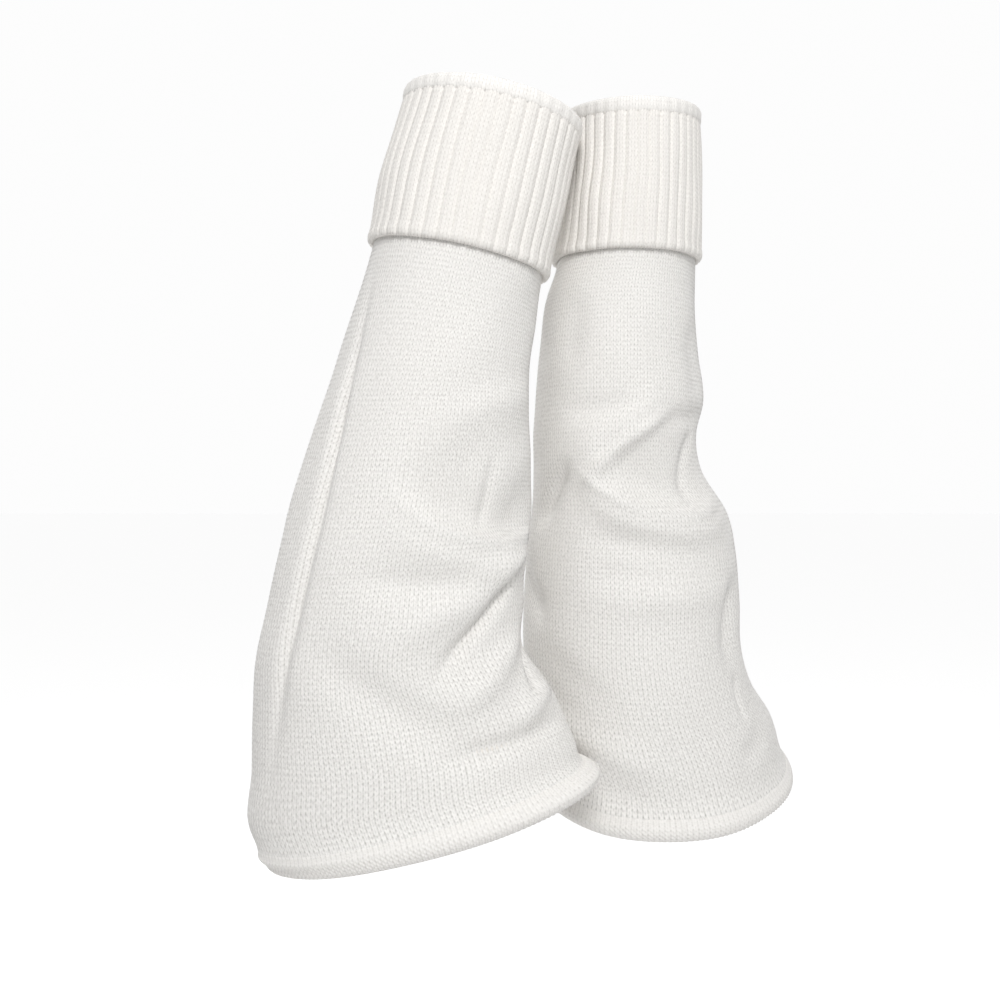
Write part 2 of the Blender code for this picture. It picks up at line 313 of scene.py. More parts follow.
def yarn_material(yarn, pattern):
    """Matt fuzzy yarn over one of the two stitch patterns."""
    material = bpy.data.materials.new(yarn.name)
    material.use_nodes = True
    tree = material.node_tree
    surface = tree.nodes["Principled BSDF"]
    surface.inputs["Roughness"].default_value = YARN_ROUGHNESS
    surface.inputs["Specular IOR Level"].default_value = YARN_SHINE
    surface.inputs["Sheen Weight"].default_value = SHEEN
    surface.inputs["Sheen Roughness"].default_value = SHEEN_ROUGHNESS
    stitch_map = tree.nodes.new("ShaderNodeUVMap")
    stitch_map.uv_map = "stitches"
    group = tree.nodes.new("ShaderNodeGroup")
    group.node_tree = pattern
    tree.links.new(stitch_map.outputs[0], group.inputs["Stitch"])
    # This mix paints the shade of the stitch hollows, and their random tone, into the base colour.
    painted_shade_and_tone = tree.nodes.new("ShaderNodeMix")
    painted_shade_and_tone.data_type = "RGBA"
    painted_shade_and_tone.inputs["A"].default_value = (*yarn.valley, 1.0)
    painted_shade_and_tone.inputs["B"].default_value = (*yarn.crest, 1.0)
    tree.links.new(group.outputs["Shade"], painted_shade_and_tone.inputs["Factor"])
    tree.links.new(painted_shade_and_tone.outputs["Result"], surface.inputs["Base Color"])
    bump = tree.nodes.new("ShaderNodeBump")
    bump.inputs["Strength"].default_value = yarn.bump
    bump.inputs["Distance"].default_value = BUMP_REACH
    tree.links.new(group.outputs["Height"], bump.inputs["Height"])
    tree.links.new(bump.outputs["Normal"], surface.inputs["Normal"])
    return material


body_yarn = yarn_material(KNIT_YARN, knit_side)
rib_yarn_painted_darker = yarn_material(RIB_YARN_PAINTED_DARKER, knit_side)
edge_yarn = yarn_material(EDGE_YARN, knit_side)
inside_yarn = yarn_material(INSIDE_YARN, purl_side)
print("yarns:", [m.name for m in (body_yarn, rib_yarn_painted_darker, edge_yarn, inside_yarn)])

# %% [markdown]
# ## The cut of the warmers
# The solids of the frame come from two tables, one for the sections of each tube and one for
# its folds. The fine skin has the same sections and nearly the same folds, some of them a little
# deeper or wider, so it lies where the solid lies.
# A section row holds the leftmost and the rightmost point of the tube as seen from the front,
# the depth at which they lie, half the depth of the tube and how far its front is turned down.
# A fold row is a run over the cloth from one angle and drop to another, with its half width,
# its rise, which is negative for a hollow, and the bow of its middle.

# %% Sections, in mm and degrees
Section = namedtuple("Section", "drop left_x left_z right_x right_z y half_depth dip")

LEFT_SECTIONS = (
    Section(0, -88, 48, 10, 28, -23, 44, 0),
    Section(42, -101, 6, 1, -14, -23, 44, 0),
    Section(84, -109, -35, -9, -55, -23, 44, 0),
    Section(117, -119, -69, -13, -84, -23, 44, 0),
    Section(143, -128, -99, -16, -106, -23, 45, 0),
    Section(177, -140, -135, -17, -136, -23, 46, 0),
    Section(206, -150, -165, -15, -164, -24, 47, 0),
    Section(236, -159, -196, -14, -193, -25, 49, 1),
    Section(266, -166, -227, -19, -220, -26, 51, 1),
    Section(295, -172, -255, -20, -249, -27, 52, 1),
    Section(322, -177, -284, -21, -275, -29, 53, 2),
    Section(351, -179, -315, -4, -300, -30, 54, 2),
    Section(380, -180, -347, 7, -324, -32, 55, 2),
    Section(402, -180, -379, 11, -336, -34, 55, 2),
    Section(414, -170, -392, 11, -343, -35, 55, 2),
)

RIGHT_SECTIONS = (
    Section(0, 11, 51, 90, 51, 21, 49, 9),
    Section(42, 8, 8, 91, 8, 23, 50, 6),
    Section(86, 3, -36, 91, -37, 25, 50, 3),
    Section(119, -5, -65, 92, -66, 27, 51, 1),
    Section(150, -8, -96, 94, -97, 29, 52, 0),
    Section(179, -10, -125, 97, -126, 31, 53, 0),
    Section(199, -12, -146, 93, -146, 33, 55, 1),
    Section(222, -12, -168, 97, -168, 35, 57, 2),
    Section(250, -13, -195, 114, -196, 37, 60, 3),
    Section(277, -16, -222, 120, -222, 39, 62, 4),
    Section(307, -18, -252, 123, -252, 42, 65, 6),
    Section(337, -18, -283, 125, -282, 45, 69, 7),
    Section(367, -14, -313, 133, -310, 48, 73, 9),
    Section(394, -9, -343, 147, -333, 52, 76, 11),
    Section(410, -6, -359, 152, -348, 55, 78, 12),
    Section(421, -4, -371, 154, -361, 57, 79, 12),
)
print("sections:", len(LEFT_SECTIONS), len(RIGHT_SECTIONS))

# %% Folds
Fold = namedtuple("Fold", "angle0 drop0 angle1 drop1 half_width rise bow")

LEFT_FOLDS = (
    Fold(-62, 88, -58, 400, 5, -4.5, -17),
    Fold(-84, 100, -80, 400, 10, 1.4, -12),
    Fold(4, 194, 92, 172, 9, 2.2, -9),
    Fold(-2, 222, 94, 196, 12, -2.0, -9),
    Fold(-10, 214, 104, 238, 28, -11.5, 18),
    Fold(-14, 219, 100, 250, 5.5, 7.0, 20),
    Fold(-16, 230, 100, 261, 13, 9.0, 18),
    Fold(-26, 270, 66, 284, 9, -4.0, 3),
    Fold(-8, 322, 92, 262, 12, 6.6, -8),
    Fold(16, 338, 80, 264, 5, -5.2, -3),
    Fold(14, 354, 84, 306, 8, 6.0, 0),
    Fold(4, 378, 84, 367, 6.5, -4.6, 0),
    Fold(-36, 300, 36, 388, 13, -5.4, 0),
    Fold(112, 214, 192, 224, 14, -4.5, 0),
    Fold(104, 250, 206, 262, 7, 4.0, 7),
    Fold(128, 332, 214, 292, 9, 4.0, -8),
    Fold(140, 352, 226, 318, 7, -4.0, -4),
    Fold(232, 196, 258, 384, 6, -2.8, 8),
)
RIGHT_FOLDS = (
    Fold(-44, 166, -34, 112, 7, -1.6, 0),
    Fold(56, 126, 60, 190, 10, -2.4, 0),
    Fold(-48, 190, 14, 184, 7, -2.6, 0),
    Fold(-36, 240, 38, 186, 4.5, 4.6, -5),
    Fold(-44, 232, 30, 178, 11, 3.6, -5),
    Fold(-12, 220, 76, 206, 12, -1.5, 0),
    Fold(-24, 211, 76, 226, 18, -8.0, 17),
    Fold(20, 194, 78, 188, 6, -2.6, 0),
    Fold(-38, 218, 72, 239, 4.5, 4.6, 20),
    Fold(-40, 228, 70, 249, 11, 5.6, 18),
    Fold(-70, 264, -36, 214, 5.5, -4.0, 0),
    Fold(-36, 264, 46, 276, 9, -3.2, -2),
    Fold(-36, 284, 26, 285, 7, -1.4, 0),
    Fold(-36, 300, 76, 297, 9, 2.6, 0),
    Fold(52, 350, 62, 284, 10, -6.5, 0),
    Fold(-98, 280, -52, 320, 10, -5.0, 0),
    Fold(-62, 326, -8, 370, 10, -1.6, 0),
    Fold(-68, 366, 2, 394, 10, 4.6, 2),
    Fold(-50, 402, -10, 412, 7, -1.4, 0),
    Fold(30, 399, 62, 386, 7, -2.4, 0),
    Fold(96, 212, 176, 206, 12, -4.5, 0),
    Fold(92, 246, 190, 236, 7, 4.2, 8),
    Fold(126, 300, 216, 318, 9, 4.0, -6),
    Fold(118, 322, 204, 346, 8, -4.0, 0),
    Fold(206, 196, 262, 232, 8, -3.6, 4),
)
print("folds:", len(LEFT_FOLDS), len(RIGHT_FOLDS))

# %% [markdown]
# The fine skin can hold narrower creases than the solid. They are placed where cloth that is
# pushed together breaks between two big folds, with similar ones on the hidden sides.

# %% Fine creases
LEFT_CREASES = (
    Fold(-62, 96, -58, 384, 2.6, -1.4, -17),
    Fold(41, 254, 45, 200, 4.0, -2.4, 0),
    Fold(52, 252, 96, 249, 2.4, -1.2, 0),
    Fold(18, 337, 78, 267, 2.6, -1.4, -3),
    Fold(66, 280, 92, 258, 5.0, -1.6, 0),
    Fold(60, 352, 86, 320, 3.0, -3.0, 0),
    Fold(42, 362, 88, 342, 6.0, 3.6, 0),
    Fold(108, 236, 176, 240, 3.5, -1.3, 3),
    Fold(150, 268, 200, 280, 4.0, -1.2, 0),
    Fold(210, 230, 236, 300, 4.0, -1.2, 3),
    Fold(160, 372, 230, 388, 5.0, 1.2, 0),
)
RIGHT_CREASES = (
    Fold(30, 252, 66, 190, 4.5, -2.6, 0),
    Fold(-74, 266, -46, 222, 6.0, -1.6, 0),
    Fold(54, 344, 48, 382, 3.0, -2.2, 0),
    Fold(104, 228, 160, 226, 3.5, -1.2, 2),
    Fold(140, 262, 200, 270, 4.0, -1.2, 0),
    Fold(200, 290, 240, 350, 4.5, -1.3, 3),
    Fold(150, 372, 236, 384, 5.0, 1.2, 0),
)
print("fine creases:", len(LEFT_CREASES), len(RIGHT_CREASES))

# %% The two warmers
Warmer = namedtuple("Warmer", "name sections folds roll_shift")
WARMERS = (
    Warmer("left", LEFT_SECTIONS, LEFT_FOLDS + LEFT_CREASES, roll_shift=5.0),
    Warmer("right", RIGHT_SECTIONS, RIGHT_FOLDS + RIGHT_CREASES, roll_shift=0.0),
)
print("warmers:", [warmer.name for warmer in WARMERS])

# %% [markdown]
# ## From the cut to points in space
# A point of the cloth is named by its angle round the tube, from the front towards the right,
# and by its drop below the top of the tube. These helpers place it: a smooth curve through the
# rows of a table, the folds added up, and the section laid out as an ellipse.

# %% Smooth curves
def spline(knots, values, at):
    """A smooth curve through the values, with each slope set by the two values beside it."""
    knots = np.asarray(knots, float)
    values = np.asarray(values, float)
    slopes = np.gradient(values, knots)
    at = np.clip(at, knots[0], knots[-1])
    i = np.clip(np.searchsorted(knots, at, side="right") - 1, 0, len(knots) - 2)
    span = knots[i + 1] - knots[i]
    t = (at - knots[i]) / span
    start = (1 + 2 * t) * (1 - t) ** 2 * values[i] + t * (1 - t) ** 2 * span * slopes[i]
    end = t**2 * (3 - 2 * t) * values[i + 1] - t**2 * (1 - t) * span * slopes[i + 1]
    return start + end


def ease(x):
    """0 below 0, 1 above 1 and a soft S between."""
    x = np.clip(x, 0, 1)
    return x * x * (3 - 2 * x)


def column(sections, name, at):
    """One column of a section table, read between its rows."""
    return spline([s.drop for s in sections], [getattr(s, name) for s in sections], at)


def half_width(sections, at):
    """Half the distance between a section's leftmost and rightmost points."""
    run = column(sections, "right_x", at) - column(sections, "left_x", at)
    fall = column(sections, "right_z", at) - column(sections, "left_z", at)
    return np.hypot(run, fall) / 2


print("half the width of the left top:", half_width(LEFT_SECTIONS, 0.0).round(1))

# %% Points of the cloth
FOLD_FADE = 0.35  # share of its length over which a fold fades out at either end
FLARE_RISE = 5.0  # mm by which the last part turns out to the hem roll
FLARE_HEIGHT = 14.0  # mm over which it does


def fold_rise(warmer, angle, drop):
    """How far all folds together lift the cloth at a point."""
    total = np.zeros(np.broadcast(angle, drop).shape)
    for fold in warmer.folds:
        drop_mid = (fold.drop0 + fold.drop1) / 2
        angle_mid = (fold.angle0 + fold.angle1) / 2
        girth = half_width(warmer.sections, drop_mid) + column(warmer.sections, "half_depth", drop_mid)
        mm_per_degree = math.radians(girth / 2)
        round_it = ((angle - angle_mid + 180) % 360 - 180) * mm_per_degree
        down_it = drop - drop_mid
        run_round = (fold.angle1 - fold.angle0) * mm_per_degree
        run_down = fold.drop1 - fold.drop0
        length = math.hypot(run_round, run_down)
        along = (round_it * run_round + down_it * run_down) / length**2
        bowed = fold.bow * (1 - 4 * along**2)
        aside = (down_it * run_round - round_it * run_down) / length - bowed
        faded = ease((0.5 - np.abs(along)) / FOLD_FADE)
        total = total + fold.rise * faded * np.exp(-((aside / fold.half_width) ** 2))
    return total


def section_axes(sections, drop):
    """The centre of a section and the directions of its width, its depth and its upright."""
    left = np.array([column(sections, n, drop) for n in ("left_x", "y", "left_z")])
    right = np.array([column(sections, n, drop) for n in ("right_x", "y", "right_z")])
    width = (right - left) / np.linalg.norm(right - left, axis=0)
    upright = np.array([-width[2], np.zeros_like(width[1]), width[0]])
    back = np.zeros_like(width)
    back[1] = 1.0
    dip = np.radians(column(sections, "dip", drop))
    depth = np.cos(dip) * back + np.sin(dip) * upright
    upright = np.cos(dip) * upright - np.sin(dip) * back
    return (left + right) / 2, width, depth, upright


def cloth_points(warmer, angle, drop, out=0.0, down=0.0):
    """Points in mm, out mm proud of the cloth's outer face and down mm below their section."""
    angle, drop, out, down = (np.asarray(v, float) for v in np.broadcast_arrays(angle, drop, out, down))
    end = warmer.sections[-1].drop
    flare = FLARE_RISE * np.clip((drop - end + FLARE_HEIGHT) / FLARE_HEIGHT, 0, 1) ** 2
    out = out + flare + fold_rise(warmer, angle, drop)
    a = half_width(warmer.sections, drop)
    b = column(warmer.sections, "half_depth", drop)
    across = np.sin(np.radians(angle))
    along = -np.cos(np.radians(angle))
    slant = np.hypot(across * b, along * a)
    across_at = a * across + out * across * b / slant
    along_at = b * along + out * along * a / slant
    centre, width, depth, upright = section_axes(warmer.sections, drop)
    point = centre + across_at * width + along_at * depth - down * upright
    return np.moveaxis(point, 0, -1)


print("front of the left hem:", cloth_points(WARMERS[0], 0.0, LEFT_SECTIONS[-1].drop).round(1))

# %% [markdown]
# ## Even stitches
# A knitted tube has as many stitches at its narrow top as at its wide hem, and round any one row
# they are all equally wide. So each row shares its girth out evenly, and the columns of stitches
# fan out towards the hem. Hand-fed cloth is never perfect: low, wide lumps and a slight wander
# of the columns keep it from looking stamped. The random numbers come from fixed seeds.

# %% Even stitches and slight unevenness
LUMP_RISE = 0.45  # mm
LUMP_WAVES = 14
MOST_TURNS = 9  # there are fewer waves than this round the tube
LONGEST_WAVE = 160.0  # mm down the tube
SHORTEST_SHARE = 0.25
WANDER = 0.5  # degrees
GIRTH_STEPS = 360


def even_angles(warmer, shares, drops):
    """Angles at which a row's girth is shared out as asked, from 0 to 1: a row for each drop."""
    fine = np.linspace(0, 360, GIRTH_STEPS + 1)
    rows = []
    for drop in drops:
        a = half_width(warmer.sections, drop)
        b = column(warmer.sections, "half_depth", drop)
        step = np.hypot(a * np.cos(np.radians(fine)), b * np.sin(np.radians(fine)))
        run = np.concatenate(([0.0], np.cumsum((step[1:] + step[:-1]) / 2)))
        rows.append(np.interp(shares, run / run[-1], fine))
    return np.array(rows)


def unevenness(seed, angle, drop):
    """A smooth random wave over the tube, about -1 to 1."""
    draw = np.random.default_rng(seed)
    total = np.zeros(np.broadcast(angle, drop).shape)
    for _ in range(LUMP_WAVES):
        turns = draw.integers(0, MOST_TURNS)
        reach = LONGEST_WAVE * draw.uniform(SHORTEST_SHARE, 1.0)
        tilt = draw.choice((-1.0, 1.0))
        start = draw.uniform(0, 2 * math.pi)
        total = total + np.sin(np.radians(angle) * turns + tilt * drop * 2 * math.pi / reach + start)
    return total / math.sqrt(LUMP_WAVES)


sample_angles = np.arange(0, 360, 10.0)[None, :]
sample_drops = np.arange(0, 400, 20.0)[:, None]
for seed, warmer in enumerate(WARMERS):
    sample = unevenness(seed, sample_angles, sample_drops)
    print(warmer.name, "unevenness from", sample.min().round(2), "to", sample.max().round(2))

# %% [markdown]
# ## A closed skin from rings
# Every piece is one closed sheet: rings of points run over its outer face, round its edge and
# back over its inner face. Each ring has the same number of points. A ring also carries its
# course number, so the UV map can count stitches, and whether its strip shows the purl side.

# %% Build a piece from its rings
MM = 0.001

Ring = namedtuple("Ring", "points course purl")
Cut = namedtuple("Cut", "flat area")


def knit_piece(name, rings, knit_material):
    """A mesh through the rings in turn and back to the first one, with its stitches mapped."""
    points = np.concatenate([ring.points for ring in rings]) * MM
    count = len(rings[0].points)
    here = np.arange(count)
    there = (here + 1) % count
    faces, corners, slots = [], [], []
    for number, ring in enumerate(rings):
        after = (number + 1) % len(rings)
        upper, lower = number * count, after * count
        faces.append(np.stack((upper + here, lower + here, lower + there, upper + there), axis=1))
        wale, next_wale = here * WALES / count, (here + 1) * WALES / count
        top = np.broadcast_to(ring.course, count)
        bottom = np.broadcast_to(rings[after].course, count)
        u = np.stack((wale, wale, next_wale, next_wale), axis=1)
        v = np.stack((top, bottom, np.roll(bottom, -1), np.roll(top, -1)), axis=1)
        corners.append(np.stack((u, v), axis=2))
        slots.append(np.full(count, int(ring.purl)))
    mesh = bpy.data.meshes.new(name)
    mesh.from_pydata(points.tolist(), [], np.concatenate(faces).tolist())
    stitch_map = mesh.uv_layers.new(name="stitches")
    stitch_map.data.foreach_set("uv", np.concatenate(corners).ravel())
    mesh.materials.append(knit_material)
    mesh.materials.append(inside_yarn)
    mesh.polygons.foreach_set("material_index", np.concatenate(slots))
    mesh.shade_smooth()
    mesh.update()
    piece = bpy.data.objects.new(name, mesh)
    bpy.context.scene.collection.objects.link(piece)
    print(name, "has", 2 * len(mesh.polygons), "triangles")
    return piece


def declare(piece, warmer, part):
    """Attach the piece to the root and hide the solid that it stands for."""
    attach(piece, "root")
    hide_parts(warmer.name + "_" + part)


print("ring fields:", Ring._fields, "cut fields:", Cut._fields)

# %% [markdown]
# ## The bodies
# The body is plain stockinette: every stitch is a V. Two columns of points to a wale and two
# rows to a course are enough to carry it. Every second column is moved up by part of a course,
# which turns straight rows into rows of Vs, and every second row is sunk between the Vs. Behind
# the cuff nothing shows, so the rows there are wide. The last few rows above the hem roll are
# stretched smooth. Where the tube lies in folds its slack cloth is a little thicker, and the
# inner face has close rows there, so it follows the outer face through every fold.

# %% Faces of the cloth
def surface(warmer, seed, angle, drop, out=0.0, down=0.0):
    """Cloth points with the slight unevenness of hand-fed cloth."""
    lump = LUMP_RISE * unevenness(seed, angle, drop)
    return cloth_points(warmer, angle, drop, out + lump, down)


def outer_and_inner(outer, rows, inner, inner_drops):
    """The rings of a tube: down its outer face on the knit side and up its inner, purl one."""
    knit_rings = [Ring(points, row / COURSE, purl=False) for points, row in zip(outer, rows)]
    purl_rings = [Ring(points, drop / COURSE, purl=True) for points, drop in zip(inner, inner_drops)]
    return knit_rings + purl_rings


print("lumps of the surface rise about", LUMP_RISE, "mm")

# %% Bodies, in mm
BODY_COLUMNS = 2 * WALES
ROWS_PER_COURSE = 2
CUFF_DROP = 85.0  # how far the cuff hangs down
HIDDEN_DROP = CUFF_DROP - 4 * COURSE  # the stitches begin four courses behind the cuff
HIDDEN_ROWS = 12
INNER_ROWS = 44
FOLDS_START, FOLDS_END = 185.0, 365.0  # the folded length, where the inside has close rows
INNER_SHARES = (0.0, 0.1, 0.86, 1.0)  # shares of the inner rows at the hem, at its ends, on top
CLOTH = 2.4  # thickness of the knitting
FOLDED_CLOTH = 2.8  # and where it lies slack in folds
COURSE_RELIEF = 0.03
WALE_RELIEF = 0.26
SMOOTH_BAND = 7.0  # length above the roll where the stitches are stretched smooth
BAND_REACH = 0.4  # share of it that the stitches reach into it
CLOSE_SEAM = 0.25  # by which the last row reaches for the roll
END_TUCK = 0.4  # and by which it sinks under the roll's skin


def body_rings(warmer, seed):
    """Rings of stockinette from the mouth to the hem and back up inside."""
    end = warmer.sections[-1].drop
    column_number = np.arange(BODY_COLUMNS)
    between_wales = column_number % 2
    shares = column_number / BODY_COLUMNS
    hidden = np.linspace(0, HIDDEN_DROP, HIDDEN_ROWS)[:-1]
    first_row = math.ceil(HIDDEN_DROP / COURSE * ROWS_PER_COURSE)
    stitch_rows = np.arange(first_row, math.floor(end / COURSE * ROWS_PER_COURSE))
    shown = stitch_rows * COURSE / ROWS_PER_COURSE
    drops = np.concatenate((hidden, shown, [end]))
    up_and_down = np.where(stitch_rows % 2 == 1, 1.0, -1.0)
    crest = np.concatenate((np.zeros(len(hidden)), up_and_down, [0.0]))
    raised = np.concatenate((np.zeros(len(hidden)), np.ones(len(shown)), [0.0]))
    raised = raised * ease((end - SMOOTH_BAND - drops) / SMOOTH_BAND + BAND_REACH)
    angles = even_angles(warmer, shares, drops)
    rows = drops[:, None] - SLANT * COURSE * raised[:, None] * between_wales[None, :]
    angles = angles + WANDER * unevenness(seed + 10, angles, rows)
    stitch = COURSE_RELIEF * crest[:, None] + WALE_RELIEF * (1 - 2 * between_wales[None, :])
    to_roll = CLOSE_SEAM * (drops == end)[:, None]
    sunk = END_TUCK * (drops == end)[:, None]
    outer = surface(warmer, seed, angles, rows, stitch * raised[:, None] - sunk, to_roll)
    inner_stops = (end, FOLDS_END, FOLDS_START, 0)
    inner_drops = np.interp(np.linspace(0, 1, INNER_ROWS), INNER_SHARES, inner_stops)
    inner_angles = even_angles(warmer, shares, inner_drops)
    folded = (inner_drops > FOLDS_START) & (inner_drops < FOLDS_END)
    inner_out = np.where(folded, -FOLDED_CLOTH, -CLOTH)[:, None]
    inner = surface(warmer, seed, inner_angles, inner_drops[:, None], inner_out)
    return outer_and_inner(outer, rows, inner, inner_drops)


LEFT_BODY_CUT = Cut(flat=(0.47, 0.43), area=0.163)
RIGHT_BODY_CUT = Cut(flat=(0.55, 0.44), area=0.178)
for seed, (warmer, cut) in enumerate(zip(WARMERS, (LEFT_BODY_CUT, RIGHT_BODY_CUT))):
    piece = knit_piece(warmer.name + "_body_knit", body_rings(warmer, seed), body_yarn)
    declare(piece, warmer, "body")
print("body tubes:", LEFT_BODY_CUT.flat, RIGHT_BODY_CUT.flat)

# %% [markdown]
# ## The cuffs
# The cuff is a two-by-two rib that is turned down over the top. Two wales stand up as a pair,
# with a fine groove between them, and the next two sink into a narrow dark valley. Four columns
# of points to a wale round the ribs off. The lower edge is the cast-off edge, with a small lip
# that turns in.

# %% Cuffs, in mm
CUFF_COLUMNS = 4 * WALES
SEAM = 0.3  # air between two pieces of the cloth
RIB_WALES = 4
RIB_RISE = 1.3
RIB_CROWN = 0.2
VALLEY_DEPTH = 0.9
VALLEY_WIDTH = 0.13  # share of a rib
PAIR_GROOVE = 0.15
GROOVE_WIDTH = 0.07  # share of a rib
CUFF_RELIEF = 0.08
CUFF_WANDER = 0.8 * WANDER  # degrees
FLAT_ENDS = 3.0  # length at either end over which the stitches flatten
TOP_TUCK, TOP_TUCK_LENGTH = 0.35, 2.0
CAST_OFF_TUCK, CAST_OFF_LENGTH = 0.9, 1.2
LIP_RISE, LIP = 0.5, 2.4
CUFF_INNER_ROWS = 8


def cuff_rings(warmer, seed):
    """Rings of ribbing from under the turned edge to the cast-off edge and back up inside."""
    shares = np.arange(CUFF_COLUMNS) / CUFF_COLUMNS
    rows_down = np.arange(0, round(CUFF_DROP / COURSE * ROWS_PER_COURSE) + 1)
    drops = rows_down * CUFF_DROP / rows_down[-1]
    angles = np.broadcast_to(shares * 360.0, (len(drops), CUFF_COLUMNS))
    angles = angles + CUFF_WANDER * unevenness(seed + 20, angles, drops[:, None])
    wale = shares * WALES
    across = np.abs((wale + 0.5) % 1 - 0.5)
    rib_place = ((wale - 0.5) / RIB_WALES + 0.5) % 1 - 0.5
    valley = np.exp(-(((0.5 - np.abs(rib_place)) / VALLEY_WIDTH) ** 2))
    crown = RIB_CROWN * np.cos(2 * math.pi * rib_place)
    groove = PAIR_GROOVE * np.exp(-((rib_place / GROOVE_WIDTH) ** 2))
    profile = RIB_RISE + crown - groove - VALLEY_DEPTH * valley
    crest = np.where(rows_down % 2 == 1, 1.0, -1.0) * CUFF_RELIEF
    to_end = CUFF_DROP - drops
    inside_rows = ease(np.minimum(drops, to_end) / FLAT_ENDS)
    rows = drops[:, None] - SLANT * COURSE * inside_rows[:, None] * (2 * across)[None, :]
    stitch = crest[:, None] * (1 - valley)[None, :] * inside_rows[:, None]
    tuck = TOP_TUCK * np.exp(-((drops / TOP_TUCK_LENGTH) ** 2))
    tuck = tuck + CAST_OFF_TUCK * np.exp(-((to_end / CAST_OFF_LENGTH) ** 2))
    lip = LIP_RISE * np.exp(-(((to_end - LIP) / LIP) ** 2))
    out = SEAM + CLOTH + profile[None, :] + stitch + (lip - tuck)[:, None]
    outer = surface(warmer, seed, angles, rows, out)
    inner_drops = np.linspace(CUFF_DROP, 0, CUFF_INNER_ROWS)
    inner_angles = shares * 360.0
    inner = surface(warmer, seed, inner_angles[None, :], inner_drops[:, None], SEAM)
    return outer_and_inner(outer, rows, inner, inner_drops)


for seed, warmer in enumerate(WARMERS):
    piece = knit_piece(warmer.name + "_cuff_rib", cuff_rings(warmer, seed), rib_yarn_painted_darker)
    declare(piece, warmer, "cuff")

# %% [markdown]
# ## The turned top edges
# Above the ribs the cloth turns over from the inside to the outside. The turn is a smooth round
# lip that stands a little proud of the ribs, and the ribs only just show through it. It is
# made as a strip of cloth folded over the top, open at the bottom, where the two layers go on.

# %% Top edges, in mm
EDGE_COLUMNS = 3 * WALES
EDGE_ARC_STEPS = 14
EDGE_LEG_STEPS = 3
EDGE_HEIGHT = 8.0
EDGE_PROUD = 0.6  # by which it stands out over the ribs
EDGE_RIPPLE = 0.22
EDGE_TUCK, EDGE_TUCK_LENGTH = 0.3, 1.5
EDGE_REACH = 1.6  # by which it goes on behind the tops of the ribs
EDGE_SINK = 1.5  # by which that part lies deeper


def arch(out_from, out_to, height):
    """Points up one side, over a half circle and down the other: how far out and how far up."""
    radius = (out_to - out_from) / 2
    middle = (out_to + out_from) / 2
    legs = np.linspace(SEAM, height - radius, EDGE_LEG_STEPS, endpoint=False)
    turns = np.linspace(0, math.pi, EDGE_ARC_STEPS + 1)
    up = [(out_from, leg) for leg in legs]
    over = [(middle - radius * math.cos(t), height - radius + radius * math.sin(t)) for t in turns]
    return up + over + [(out_to, leg) for leg in legs[::-1]]


def edge_rings(warmer, seed):
    """Rings of the turned edge: along its outer face over the top, then back under it."""
    shares = np.arange(EDGE_COLUMNS) / EDGE_COLUMNS
    angles = shares * 360.0
    rib_place = ((shares * WALES - 0.5) / RIB_WALES + 0.5) % 1 - 0.5
    ripple = np.cos(2 * math.pi * rib_place)
    outside = SEAM + CLOTH + RIB_RISE + EDGE_PROUD
    over = arch(-CLOTH, outside, EDGE_HEIGHT) + [(outside - EDGE_SINK, -EDGE_REACH)]
    under = [(outside - EDGE_SINK - CLOTH, -EDGE_REACH)]
    under = under + arch(0.0, outside - CLOTH, EDGE_HEIGHT - CLOTH)[::-1]
    rings = []
    for number, (out, up) in enumerate(over + under):
        on_outside = number < len(over)
        share_out = (out + CLOTH) / (outside + CLOTH)
        tuck = EDGE_TUCK * math.exp(-((up / EDGE_TUCK_LENGTH) ** 2)) if out > 0 else 0.0
        swell = EDGE_RIPPLE * ripple * share_out if on_outside else 0.0
        points = surface(warmer, seed, angles, np.zeros(EDGE_COLUMNS), out - tuck + swell, -up)
        rings.append(Ring(points, number / ROWS_PER_COURSE, purl=not on_outside))
    return rings[::-1]


for seed, warmer in enumerate(WARMERS):
    piece = knit_piece(warmer.name + "_top_edge_knit", edge_rings(warmer, seed), edge_yarn)
    declare(piece, warmer, "top_edge")

# %% [markdown]
# ## The rolled hems
# The lower edge of plain knitting always curls. Here it curls under into a fat roll. It is a real
# spiral of cloth: it leaves the flare of the body on the same line, runs round the roll, and goes
# on inside it. Where the cloth is bent round, the columns of stitches stand up as slanting
# ridges, one for each wale.

# %% Turns of the roll, in mm and degrees
ROLL_RADIUS = 7.0
ROLL_START = 42.0  # where the flare of the body runs into the roll
ROLL_END = 500.0  # where the cloth ends inside the roll
TIGHTEN_FROM = 285.0  # where the cloth starts to slip inside its own first turn
TIGHTEN_SPAN = 117.0  # the turn that this takes
TIGHTEN = 2.35  # how much nearer the middle it then lies, and again with each full turn


def roll_radius(turn):
    """Radius of the roll's outer face: steady at first, then smaller so that it fits inside."""
    tightened = np.clip(turn - TIGHTEN_FROM, 0, TIGHTEN_SPAN) / TIGHTEN_SPAN * TIGHTEN
    late = np.clip(turn - TIGHTEN_FROM - TIGHTEN_SPAN, 0, None) / 360.0 * TIGHTEN
    return ROLL_RADIUS - tightened - late


print("the roll tightens from", ROLL_RADIUS, "to", round(roll_radius(ROLL_END), 2), "mm")

# %% Hem rolls, in mm and degrees
ROLL_COLUMNS = 4 * WALES
ROLL_CLOTH = 2.1
RIDGE_RISE = 0.34
RIDGE_SLANT = 2.4  # wales that a ridge crosses in one radian round the roll
RIDGE_FROM, RIDGE_BAND = 8, 25.0  # turn after which the ridges begin and that they grow over
LEAN_BAND = 60.0  # turn over which the roll leans to its side
SHOWN_STEP = 3.6  # between the rows of points where the ridges show
HIDDEN_STEPS = 24
START_STRIPS = ((4.0, -0.25), (1.0, 0.03))  # how far above the hem and how proud the roll begins


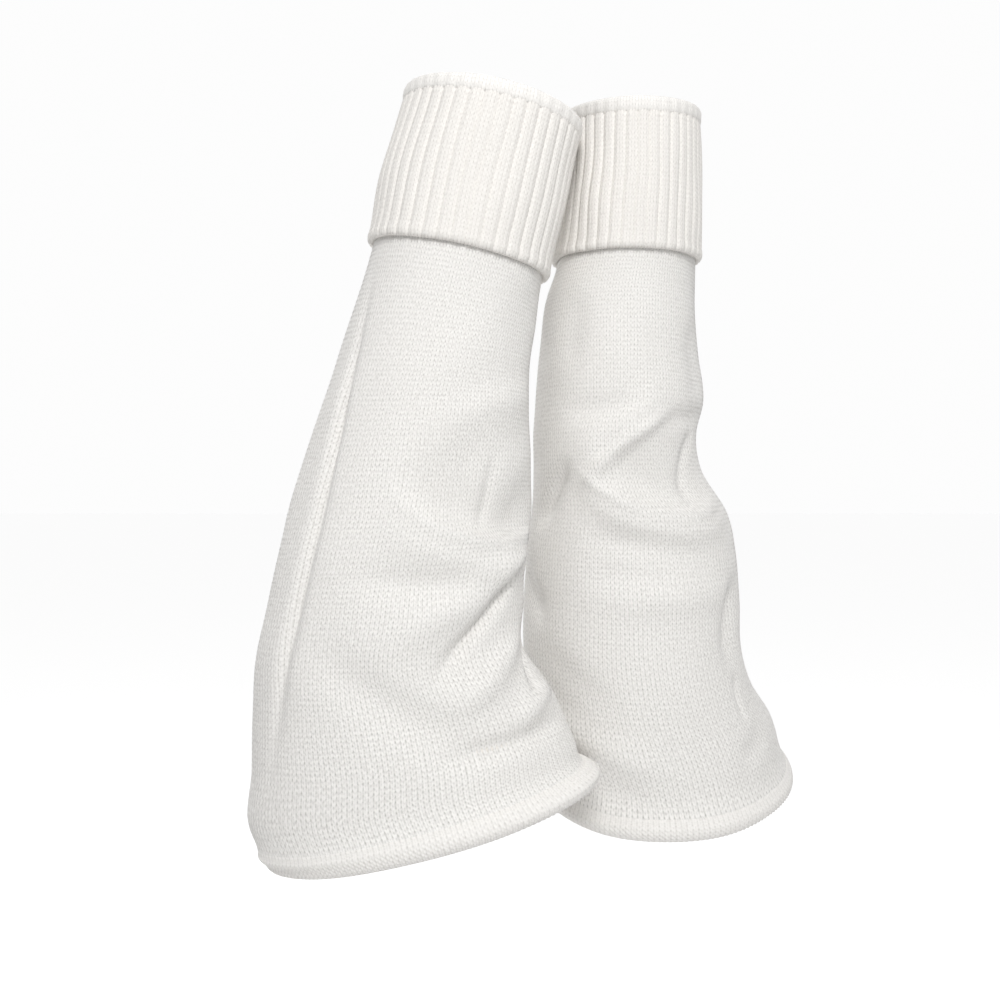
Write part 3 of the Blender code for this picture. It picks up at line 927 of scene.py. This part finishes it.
def roll_rings(warmer, seed):
    """Rings of the spiral: off the body, round its outer face and back along its inner one."""
    shares = np.arange(ROLL_COLUMNS) / ROLL_COLUMNS
    end = warmer.sections[-1].drop
    angles = even_angles(warmer, shares, [end])[0]
    begin = math.radians(ROLL_START)
    wale = shares * WALES
    shown_turns = np.arange(ROLL_START, TIGHTEN_FROM, SHOWN_STEP)
    inner_turns = np.linspace(ROLL_END, ROLL_START, HIDDEN_STEPS)
    outer_turns = np.concatenate((shown_turns, np.linspace(TIGHTEN_FROM, ROLL_END, HIDDEN_STEPS // 2)))
    rings = []
    for back, proud in START_STRIPS:
        points = surface(warmer, seed, angles, np.full(ROLL_COLUMNS, end - back), proud)
        rings.append(Ring(points, (end - back) / COURSE, purl=False))
    sideways = np.sin(np.radians(angles))
    for outer, order in ((1, outer_turns), (0, inner_turns)):
        for turn in order:
            t = math.radians(turn)
            lean = warmer.roll_shift * ease((turn - ROLL_START) / LEAN_BAND) * sideways
            ridge = np.cos(2 * math.pi * (wale - RIDGE_SLANT * (t - begin)))
            shown = ease((turn - ROLL_START - RIDGE_FROM) / RIDGE_BAND) * outer
            radius = roll_radius(turn) - ROLL_CLOTH * (1 - outer) + RIDGE_RISE * ridge * shown
            out = -ROLL_RADIUS * math.sin(begin) + radius * math.sin(t) + lean
            down = ROLL_RADIUS * math.cos(begin) + SEAM - radius * math.cos(t)
            points = surface(warmer, seed, angles, np.full(ROLL_COLUMNS, end), out, down)
            rings.append(Ring(points, (end + ROLL_RADIUS * t) / COURSE, purl=not outer))
    return rings


LEFT_ROLL_CUT = Cut(flat=(0.49, 0.045), area=0.022)
RIGHT_ROLL_CUT = Cut(flat=(0.54, 0.045), area=0.0243)
for seed, (warmer, cut) in enumerate(zip(WARMERS, (LEFT_ROLL_CUT, RIGHT_ROLL_CUT))):
    piece = knit_piece(warmer.name + "_hem_roll_knit", roll_rings(warmer, seed), edge_yarn)
    declare(piece, warmer, "hem_roll")
print("hem strips:", LEFT_ROLL_CUT.flat, RIGHT_ROLL_CUT.flat)
